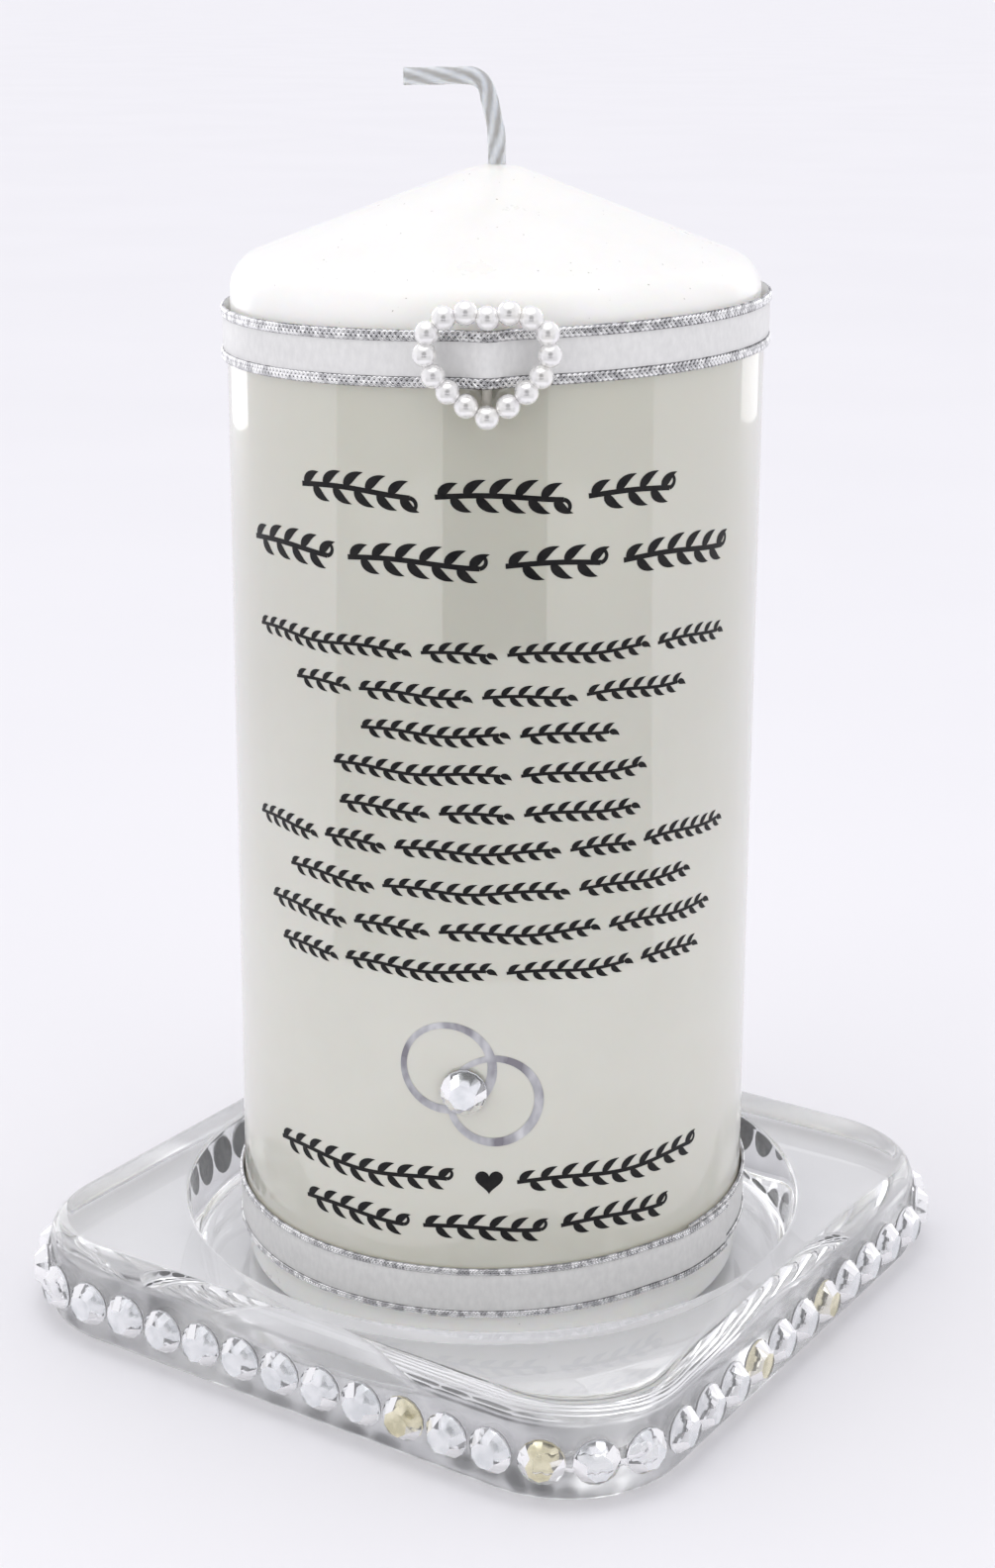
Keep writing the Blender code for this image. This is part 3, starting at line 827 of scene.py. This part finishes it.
def wick():
    braid = Shape()
    route = wick_route()
    side = Vector((0.0, 1.0, 0.0))
    foot = len(route) - 1

    def swell(i):
        """The wax that ran down makes the wick fatter towards its foot."""
        return 1.0 + 0.16 * max(0.0, 1.0 - i / (foot * 0.52)) + 0.03 * math.sin(i * 0.37)

    tube(braid, route, lambda i: WICK_CORE * swell(i), 18)
    for strand in range(STRANDS):
        path = []
        for i, point in enumerate(route):
            along = (route[min(i + 1, len(route) - 1)] - route[max(i - 1, 0)]).normalized()
            across = along.cross(side)
            turn = i * STRAND_TWIST + strand * 2 * math.pi / STRANDS
            out = side * math.cos(turn) + across * math.sin(turn)
            path.append(point + STRAND_OFFSET * swell(i) * out)
        tube(braid, path, lambda i: STRAND_RADIUS * (1.0 + 0.03 * math.sin(i * 1.3 + strand)), 10)
    return braid.made("wick_braid", cotton_material())


settle(wick(), "candle", "waxed_cotton", "wick")

# %% [markdown]
# ## Printed film
#
# The design is printed on a thin film that wraps once round the pillar and meets at the back. It is
# the shiniest surface on the candle, like wet varnish over ivory, so it has a coat over a soft base.
# The film lies a little unevenly on the wax, and a gentle upright ripple bends its reflections.
# Its colour is also set by height, and that is painted shade: darker over the upper part, for the
# dark front of the tent mirrored there, and lightest a quarter of the way up, where light from the
# floor falls. At the very foot it is a little darker and yellower.

# %% Printed film
FILM_STEPS = 240
FILM_SEAM = 0.5 * MM


def film_material():
    film = Finish("printed_film", Roughness=0.30, IOR=1.46, Coat_Weight=1.0, Subsurface_Weight=0.12)
    film.shader.inputs["Coat IOR"].default_value = 2.1
    film.shader.inputs["Subsurface Scale"].default_value = 0.003
    film.shader.inputs["Coat Roughness"].default_value = 0.035
    height = film.node("ShaderNodeSeparateXYZ", {"Vector": film.place}).outputs["Z"]
    painted_shade_height = film.range(height, 0.0, 1.0, film_low.z, film_high.z)
    cloud = film.noise(60.0, 4.0, 0.55)
    blend = film.node("ShaderNodeMath", {0: painted_shade_height, 1: film.range(cloud, -0.08, 0.08)}, operation="ADD")
    # Painted shade by height: darker over the upper part, lightest a quarter of the way up.
    tone = film.ramp(
        blend.outputs["Value"],
        (0.0, (0.63, 0.59, 0.50)),
        (0.25, (0.68, 0.64, 0.56)),
        (0.7, (0.585, 0.55, 0.475)),
        (1.0, (0.60, 0.565, 0.475)),
    )
    film.link(tone, "Base Color")
    ripple = film.noise(30.0, 2.0, vector=film.stretch(6.0, 6.0, 0.6))
    film.bump(ripple, 0.00012, 0.30)
    film.bump(film.noise(26.0, 1.0, vector=film.stretch(5.0, 5.0, 0.5)), 0.0001, 0.2, "Coat Normal")
    return film.material


def printed_film():
    film = Shape()
    inner = FILM_RADIUS - 0.2 * MM
    seam = FILM_SEAM / FILM_RADIUS
    heights = [film_low.z + (film_high.z - film_low.z) * k / 30 for k in range(31)]
    sections = []
    for step in range(FILM_STEPS + 1):
        angle = -math.pi + seam / 2 + (2 * math.pi - seam) * step / FILM_STEPS
        outside = [wrap(angle, FILM_RADIUS, z) for z in heights]
        inside = [wrap(angle, inner, z) for z in reversed(heights)]
        sections.append(outside + inside)
    film.loft(sections)
    return film.made("film_wrap", film_material(), sharp=40)


settle(printed_film(), "candle", "printed_film", "printed_film")

# %% [markdown]
# ## The printed design
#
# Real candles like this carry printed words. This one carries rows of leaf sprigs instead, set at
# the heights and in the lengths that lines of verse would have, above and below two linked rings.
#
# Ink is drawn as thin strokes laid on the film. A stroke is a centre line with a half-width at each
# point, and every point is wrapped round the candle, so the ink bends with it. A leaf is simply a
# stroke that swells and tapers.

# %% Ink strokes
INK_RADIUS = FILM_RADIUS + 0.035 * MM


def stroke(shape, line, widths, slot=0, lift=0.0):
    """Lays a flat stroke on the film. line holds (distance round the candle, height) pairs."""
    sections = []
    for i, (u, v) in enumerate(line):
        (u0, v0), (u1, v1) = line[max(i - 1, 0)], line[min(i + 1, len(line) - 1)]
        du, dv = u1 - u0, v1 - v0
        size = math.hypot(du, dv) or 1.0
        nu, nv = -dv / size * widths[i], du / size * widths[i]
        sides = [(u + nu, v + nv), (u, v), (u - nu, v - nv)]
        sections.append([wrap(a / FILM_RADIUS, INK_RADIUS + lift, b) for a, b in sides])
    shape.loft(sections, closed=False, caps=False, slot=slot)


def leaf(shape, u, v, heading, length, width):
    """A slender pointed leaf from (u, v) that curls a little back towards the stem's line."""
    line, widths = [], []
    turn = 1.0 if heading > 0 else -1.0
    for k in range(11):
        t = k / 10
        angle = heading - turn * 0.5 * t
        line.append((u + length * t * math.cos(angle), v + length * t * math.sin(angle)))
        widths.append(max(width * math.sin(math.pi * t ** 0.7), 0.02 * MM))
    stroke(shape, line, widths)


def filled(shape, u, v, outline):
    """A small flat figure, filled from its middle. outline holds offsets from that middle."""
    middle = shape.ring([wrap(u / FILM_RADIUS, INK_RADIUS, v)])[0]
    edge = shape.ring([wrap((u + du) / FILM_RADIUS, INK_RADIUS, v + dv) for du, dv in outline])
    for i in range(len(edge)):
        shape.face((edge[i], edge[(i + 1) % len(edge)], middle))


def heart(shape, u, v, size):
    """A small solid heart: two round lobes and a point."""
    outline = []
    for k in range(36):
        t = 2 * math.pi * k / 36
        du = 16 * math.sin(t) ** 3
        dv = 13 * math.cos(t) - 5 * math.cos(2 * t) - 2 * math.cos(3 * t) - math.cos(4 * t) + 2.0
        outline.append((du * size / 32, dv * size / 32))
    filled(shape, u, v, outline)


def curl(shape, u, v, size, turn):
    """A thin curl that closes a large sprig."""
    line, widths = [], []
    for k in range(19):
        t = k / 18
        radius = size * 0.15 * (1.0 - 0.7 * t)
        angle = -math.pi / 2 + 4.2 * t
        line.append((u + radius * math.cos(angle), v + turn * (size * 0.15 + radius * math.sin(angle))))
        widths.append(size * (0.040 - 0.016 * t))
    stroke(shape, line, widths)


# %% [markdown]
# A sprig is one waving stem with leaves on both sides in turn. Large sprigs close with a curl and
# small ones with a leaf, so that the small rows stay light.

# %% One sprig


def sprig(shape, start, height, length, size):
    """A gently waving stem with slender leaves, alternately above and below."""
    curled = size > 5.0 * MM and length > 1.2 * size
    stem_length = length - (0.16 * size if curled else 0.30 * size)
    leaves = max(3, round(stem_length / (0.235 * size)))
    pitch = stem_length / leaves

    def stem(u):
        return height + 0.05 * size * math.sin((u - start) / (0.55 * size))

    line = [(start + stem_length * k / (leaves * 4), 0.0) for k in range(leaves * 4 + 1)]
    line = [(u, stem(u)) for u, _ in line]
    widths = [size * 0.048 for _ in line]
    stroke(shape, line, widths)
    for i in range(leaves):
        up = 1.0 if i % 2 == 0 else -1.0
        u = start + (i + 0.3) * pitch
        grow = 0.82 + 0.18 * math.sin(math.pi * (i + 0.5) / leaves)
        leaf(shape, u, stem(u), math.radians(up * 66), size * 0.50 * grow, size * 0.088)
    end = start + stem_length
    if curled:
        curl(shape, end, stem(end), size, 1.0 if leaves % 2 else -1.0)
    else:
        leaf(shape, end, stem(end), math.radians(8), size * 0.36, size * 0.09)


# %% [markdown]
# Each row says how high it sits, how far round the candle it reaches, how tall its leaves stand, and
# how long its sprigs are beside each other. The rows at the top and the foot are the largest, and a
# small heart stands between the two sprigs of the row under the rings.

# %% Rows of sprigs
SMALL, LARGE, WIDE = 4.3 * MM, 6.8 * MM, 5.8 * MM
HEART = 0
ROWS = (
    (119.0 * MM, 42.5, LARGE, (8, 8, 6)),
    (110.7 * MM, 59.5, LARGE, (6, 7, 5, 7)),
    (99.6 * MM, 57.7, SMALL, (8, 3, 6, 4)),
    (94.2 * MM, 45.0, SMALL, (3, 5, 4, 5)),
    (89.3 * MM, 28.1, SMALL, (6, 4)),
    (84.2 * MM, 34.9, SMALL, (7, 5)),
    (79.1 * MM, 33.5, SMALL, (4, 3, 5)),
    (74.2 * MM, 59.3, SMALL, (4, 3, 7, 3, 5)),
    (68.9 * MM, 47.9, SMALL, (4, 7, 5)),
    (63.5 * MM, 54.8, SMALL, (4, 3, 6, 5)),
    (58.3 * MM, 51.1, SMALL, (3, 6, 5, 3)),
    (29.6 * MM, 52.9, WIDE, (6, HEART, 6)),
    (23.0 * MM, 44.2, WIDE, (4, 4, 4)),
)


def ink_material():
    ink = Finish("black_ink", IOR=1.45)
    ink.shader.inputs["Specular IOR Level"].default_value = 0.25
    grain = ink.noise(900.0, 3.0)
    ink.link(ink.ramp(grain, (0.3, (0.006, 0.006, 0.007)), (0.7, (0.016, 0.015, 0.015))), "Base Color")
    ink.link(ink.range(grain, 0.3, 0.5), "Roughness")
    return ink.material


def row_of_sprigs(shape, height, reach, size, sprigs):
    total = 2 * math.radians(reach) * FILM_RADIUS
    gap = 0.30 * size
    heart_width = 0.8 * size
    free = total - gap * len(sprigs) - heart_width * sprigs.count(HEART)
    u = -total / 2
    for share in sprigs:
        if share == HEART:
            heart(shape, u + heart_width * 0.6, height, size * 0.62)
            u += heart_width + gap
            continue
        length = free * share / sum(sprigs)
        sprig(shape, u, height, length, size)
        u += length + gap


black_ink = ink_material()
for number, (height, reach, size, sprigs) in enumerate(ROWS, start=1):
    row = Shape()
    row_of_sprigs(row, height, reach, size, sprigs)
    settle(row.made(f"ink_row_{number:02d}", black_ink, solid=False), "candle", "printed_film")

# %% [markdown]
# The two linked rings are printed in brushed greys. Each ring is one closed stroke. The shading
# comes from noise stretched along the print and mixed from pale silver to a violet grey. The right
# ring lies a hair's lift above the left one, so it passes over it at both crossings.

# %% Linked rings
RING_MEAN = 5.75 * MM
RING_HALF_WIDTH = 0.55 * MM
RINGS = ((-5.8 * MM, 45.3 * MM), (0.2 * MM, 41.0 * MM))


def ring_ink_material():
    ink = Finish("grey_ring_ink", IOR=1.5, Coat_Weight=0.5)
    ink.shader.inputs["Coat Roughness"].default_value = 0.08
    brushed = ink.noise(230.0, 3.0, 0.6, vector=ink.stretch(1.0, 1.0, 0.55))
    dark, mid, light = (0.20, 0.19, 0.22), (0.42, 0.42, 0.45), (0.66, 0.66, 0.68)
    ink.link(ink.ramp(brushed, (0.36, dark), (0.5, mid), (0.64, light)), "Base Color")
    ink.link(ink.range(brushed, 0.25, 0.4), "Roughness")
    return ink.material


def linked_rings():
    rings = Shape()
    steps = 96
    for number, (u, v) in enumerate(RINGS):
        angles = [2 * math.pi * k / steps for k in range(steps + 1)]
        line = [(u + RING_MEAN * math.cos(a), v + RING_MEAN * math.sin(a)) for a in angles]
        widths = [RING_HALF_WIDTH * (0.92 + 0.22 * math.sin(a + 2.2)) for a in angles]
        stroke(rings, line, widths, lift=0.01 * MM * (number + 1))
    return rings.made("ink_rings", ring_ink_material(), solid=False)


settle(linked_rings(), "candle", "printed_film")

# %% [markdown]
# ## Ribbons
#
# The ribbon is seven millimetres of white satin with a braided silver thread along each edge. Close
# up, the braid is what you notice, so it is made of real strands: three flat threads that swing from
# side to side and pass over each other. A darker bed under them shows through the gaps.
#
# The ribbon goes once round and laps over itself. The upper one also rises over the buckle's bar.
# Both are pulled tight over the film, so they are built directly on it and never hang free.

# %% Ribbon path
SILVER_THICKNESS = 0.5 * MM
SILVER_WIDTH = 1.45 * MM
NARROW_SILVER = 1.0 * MM
RIBBON_LAP = math.radians(14.0)
LAP_LIFT = SILVER_THICKNESS + 0.15 * MM
HEART_X = -1.0 * MM
BAR_FRONT = 36.75 * MM
OVER_BAR = BAR_FRONT + 0.3 * MM - RIBBON_INNER
BULGE_WIDTH = 2.3 * MM


def ribbon_path(name, lean_degrees, end_degrees, passes_bar):
    """Turns a place along the ribbon (0 to 1) into its angle, inner radius and lower edge height."""
    low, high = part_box(name)
    lean = math.tan(math.radians(lean_degrees))
    middle = (low.z + high.z) / 2 - RIBBON_WIDTH / 2
    end = math.radians(end_degrees)

    def at(t):
        angle = end - RIBBON_LAP + (2 * math.pi + RIBBON_LAP) * t
        lapped = (angle - (end + 2 * math.pi - 2 * RIBBON_LAP)) / RIBBON_LAP
        rise = min(max(lapped, 0.0), 1.0)
        radius = RIBBON_INNER + LAP_LIFT * rise * rise * (3 - 2 * rise)
        if passes_bar:
            across = (angle - 2 * math.pi) * RIBBON_INNER - HEART_X
            radius += OVER_BAR * math.exp(-((across / BULGE_WIDTH) ** 2))
        return angle, radius, middle + lean * radius * math.sin(angle)

    return at


# %% [markdown]
# Satin is woven so that long threads float on its face along the ribbon's length. That gives a
# sheen that changes along the ribbon, with a fine cross grain. The bump below is two sets of short
# waves, and the shader's sheen adds the soft glow of the fibres.

# %% Satin and silver finishes


def satin_material():
    satin = Finish("white_satin", Roughness=0.38, Sheen_Weight=0.35, IOR=1.5)
    satin.shader.inputs["Sheen Roughness"].default_value = 0.35
    satin.shader.inputs["Anisotropic"].default_value = 0.4
    cross = satin.noise(1500.0, 3.0, vector=satin.stretch(1.0, 1.0, 0.55))
    floats = satin.noise(5200.0, 3.0, vector=satin.stretch(0.25, 0.25, 1.6))
    tone = satin.ramp(cross, (0.3, (0.715, 0.713, 0.705)), (0.7, (0.785, 0.783, 0.772)))
    satin.link(tone, "Base Color")
    total = satin.node("ShaderNodeMath", {0: cross, 1: floats}, operation="ADD").outputs["Value"]
    satin.bump(total, 0.00004, 0.3)
    return satin.material


def silver_material(name, dark, light, roughness):
    silver = Finish(name, Metallic=1.0)
    glitter = silver.noise(800.0, 1.0, 0.5)
    silver.link(silver.ramp(glitter, (0.42, dark), (0.56, light)), "Base Color")
    silver.link(silver.range(silver.noise(900.0), *roughness), "Roughness")
    silver.bump(silver.noise(1500.0, 1.0), 0.00004, 0.35)
    return silver.material


satin = satin_material()
lurex = silver_material("silver_thread", (0.60, 0.60, 0.61), (0.98, 0.98, 0.98), (0.12, 0.28))
lurex_bed = silver_material("silver_bed", (0.22, 0.22, 0.23), (0.50, 0.50, 0.52), (0.3, 0.5))

# %% Ribbon builder
RIBBON_STEPS = 720
BRAID_PITCH = 2.0 * MM


def ribbon_cloth(shape, at, silver):
    """One thin closed strip: satin in the middle (slot 0), the darker beds of the braids (slot 2)."""
    bed = 0.16
    width = silver / MM
    left = [(0.0, 0.05), (bed, 0.05), (bed, width - 0.05), (0.20, width + 0.07)]
    left += [(0.24, 2.2), (0.25, 3.5)]
    right = [(out, 7.0 - up) for out, up in reversed(left[:-1])]
    profile = left + right
    slots = [2, 2, 0, 0, 0, 0, 0, 0, 2, 2, 0]
    rings = []
    for step in range(RIBBON_STEPS + 1):
        t = step / RIBBON_STEPS
        angle, radius, low = at(t)
        pucker = 0.02 * MM * math.sin(t * 190.0) * math.sin(t * 47.0)
        section = []
        for out, up in profile:
            middle = max(0.0, 1 - abs(up - 3.5) / 2.0)
            section.append(wrap(angle, radius + out * MM + pucker * middle, low + up * MM))
        rings.append(shape.ring(section))
    for first, second in zip(rings, rings[1:]):
        for i, slot in enumerate(slots):
            j = (i + 1) % len(profile)
            shape.face((first[i], first[j], second[j], second[i]), slot)
    shape.face(rings[0])
    shape.face(rings[-1][::-1])


def away_from_axis(point):
    return Vector((point.x, point.y, 0.0)).normalized()


def braid(shape, at, height, silver, slot):
    """Three flat strands plaited along the ribbon at one height, as wide together as silver says."""
    size = silver / SILVER_WIDTH
    turns = 2 * math.pi * RIBBON_INNER / (BRAID_PITCH * size)
    samples = round(turns * 13)
    for strand in range(3):
        path = []
        for k in range(samples + 1):
            t = k / samples
            angle, radius, low = at(t)
            swing = 2 * math.pi * (turns * t + strand / 3)
            out = 0.28 * MM + 0.075 * MM * math.sin(2 * swing)
            up = height + 0.44 * MM * size * math.sin(swing)
            path.append(wrap(angle, radius + out, low + up))
        tube(shape, path, 0.215 * MM * size, 5, slot, flat=0.5, side=away_from_axis)


def ribbon(name, node, lean, end, passes_bar, silver):
    shape = Shape()
    at = ribbon_path(node, lean, end, passes_bar)
    ribbon_cloth(shape, at, silver)
    for height in (silver / 2, RIBBON_WIDTH - silver / 2):
        braid(shape, at, height, silver, 1)
    settle(shape.made(name, satin, lurex, lurex_bed), "candle", "silver_edged_satin", node)


ribbon("ribbon_upper_satin", "upper_ribbon", 1.8, 180.0, True, SILVER_WIDTH)
ribbon("ribbon_lower_satin", "lower_ribbon", 1.0, 62.0, False, NARROW_SILVER)

# %% [markdown]
# ## Pearl heart buckle
#
# The heart is one plastic moulding: sixteen pearls fused in a ring, with a flat bar up the middle
# that the ribbon slides over. Each pearl runs into the next through a short neck, so the pearls are
# joined by small fillets. The moulding is then sprayed with pearl lacquer from the front, so the bar
# behind keeps more of the bare, beige plastic. Its colour is also painted darker and greyer, as
# painted shade for the shadow the bar lies in behind the pearls.
#
# Pearl lacquer holds tiny flakes that reflect almost like metal, in a bright milky base under a hard
# clear coat. A half-metallic base does that: it mirrors the tent softly, so each pearl is white on
# top and takes a small dark spot where it mirrors the opening. A slow swirl in its colour, from
# warm to faintly rosy white, stands for flakes that settled unevenly.

# %% Pearl heart buckle
PEARL_RADIUS = 1.42 * MM
LACQUERED_RADIUS = 1.49 * MM
HEART_HALF = ((2.47, 1.35), (4.65, 3.0), (6.35, 4.9), (7.38, 7.42))
HEART_HALF += ((7.08, 9.95), (5.12, 11.7), (2.55, 12.3))
HEART_DIP = 11.7
BAR_WIDTH = 1.2 * MM


def pearl_material():
    pearl = Finish("pearl_lacquer", IOR=1.6, Metallic=0.55, Coat_Weight=1.0)
    pearl.shader.inputs["Coat Roughness"].default_value = 0.05
    pearl.shader.inputs["Coat IOR"].default_value = 1.7
    swirl = pearl.noise(500.0, 3.0)
    warm, milk, rose = (0.96, 0.945, 0.91), (0.94, 0.935, 0.925), (0.90, 0.885, 0.89)
    pearl.link(pearl.ramp(swirl, (0.3, warm), (0.5, milk), (0.7, rose)), "Base Color")
    pearl.link(pearl.range(swirl, 0.12, 0.18), "Roughness")
    pearl.bump(pearl.noise(900.0, 2.0), 0.00002, 0.08)
    return pearl.material


# The bar's plastic: beige from the bare moulding, and darkened further as painted shade.
def bar_plastic_painted_shade_material():
    plastic = Finish("bar_plastic_painted_shade", IOR=1.5)
    flow = plastic.noise(700.0, 2.0)
    plastic.link(plastic.ramp(flow, (0.3, (0.50, 0.48, 0.42)), (0.7, (0.60, 0.58, 0.52))), "Base Color")
    plastic.link(plastic.range(flow, 0.35, 0.5), "Roughness")
    return plastic.material


# %% [markdown]
# The heart is the same on both sides, so only its right half is written down, in millimetres from
# the lowest pearl, and the left half mirrors it.

# %% Pearls, necks and bar


def heart_centres(plane, bottom):
    right = [(x * MM, z * MM) for x, z in HEART_HALF]
    left = [(-x, z) for x, z in reversed(right)]
    outline = [(0.0, 0.0), *right, (0.0, HEART_DIP * MM), *left]
    return [Vector((HEART_X + x, plane, bottom + z)) for x, z in outline]


def add_pearl(shape, centre, radius, segments=28, rings=16):
    loops = []
    for r in range(1, rings):
        polar = math.pi * r / rings
        flat, tall = radius * math.sin(polar), radius * math.cos(polar)
        angles = [2 * math.pi * s / segments for s in range(segments)]
        loops.append([centre + Vector((flat * math.cos(a), -tall, flat * math.sin(a))) for a in angles])
    made = [shape.ring(loop) for loop in loops]
    for first, second in zip(made, made[1:]):
        shape.band(first, second)
    for end, loop in ((-radius, made[0]), (radius, made[-1])):
        pole = shape.ring([centre + Vector((0.0, end, 0.0))])[0]
        for i in range(segments):
            shape.face((loop[i], loop[(i + 1) % segments], pole))


def heart_buckle():
    heart = Shape()
    bottom = heart_low.z + PEARL_RADIUS
    plane = heart_low.y + PEARL_RADIUS
    centres = heart_centres(plane, bottom)
    for centre in centres:
        add_pearl(heart, centre, LACQUERED_RADIUS)
    closed = [*centres, centres[0]]
    for first, second in zip(closed, closed[1:]):
        path = [first.lerp(second, k / 8) for k in range(9)]
        tube(heart, path, lambda i: 0.42 * MM + 0.55 * MM * abs(i / 4 - 1) ** 2, 12)
    half = BAR_WIDTH / 2
    front, back = -BAR_FRONT, -(FILM_RADIUS + 0.4 * MM)
    bar = []
    for height in [bottom + HEART_DIP * MM * k / 10 for k in range(11)]:
        corners = arc((0.0, 0.0), 1.0, 0, 330, 11)
        middle, deep = (front + back) / 2, (back - front) / 2
        bar.append([Vector((HEART_X + half * x, middle + deep * y, height)) for x, y in corners])
    heart.loft(bar, slot=1)
    return heart.made("heart_pearls", pearl_material(), bar_plastic_painted_shade_material())


settle(heart_buckle(), "candle", "pearl_plastic", "heart_buckle")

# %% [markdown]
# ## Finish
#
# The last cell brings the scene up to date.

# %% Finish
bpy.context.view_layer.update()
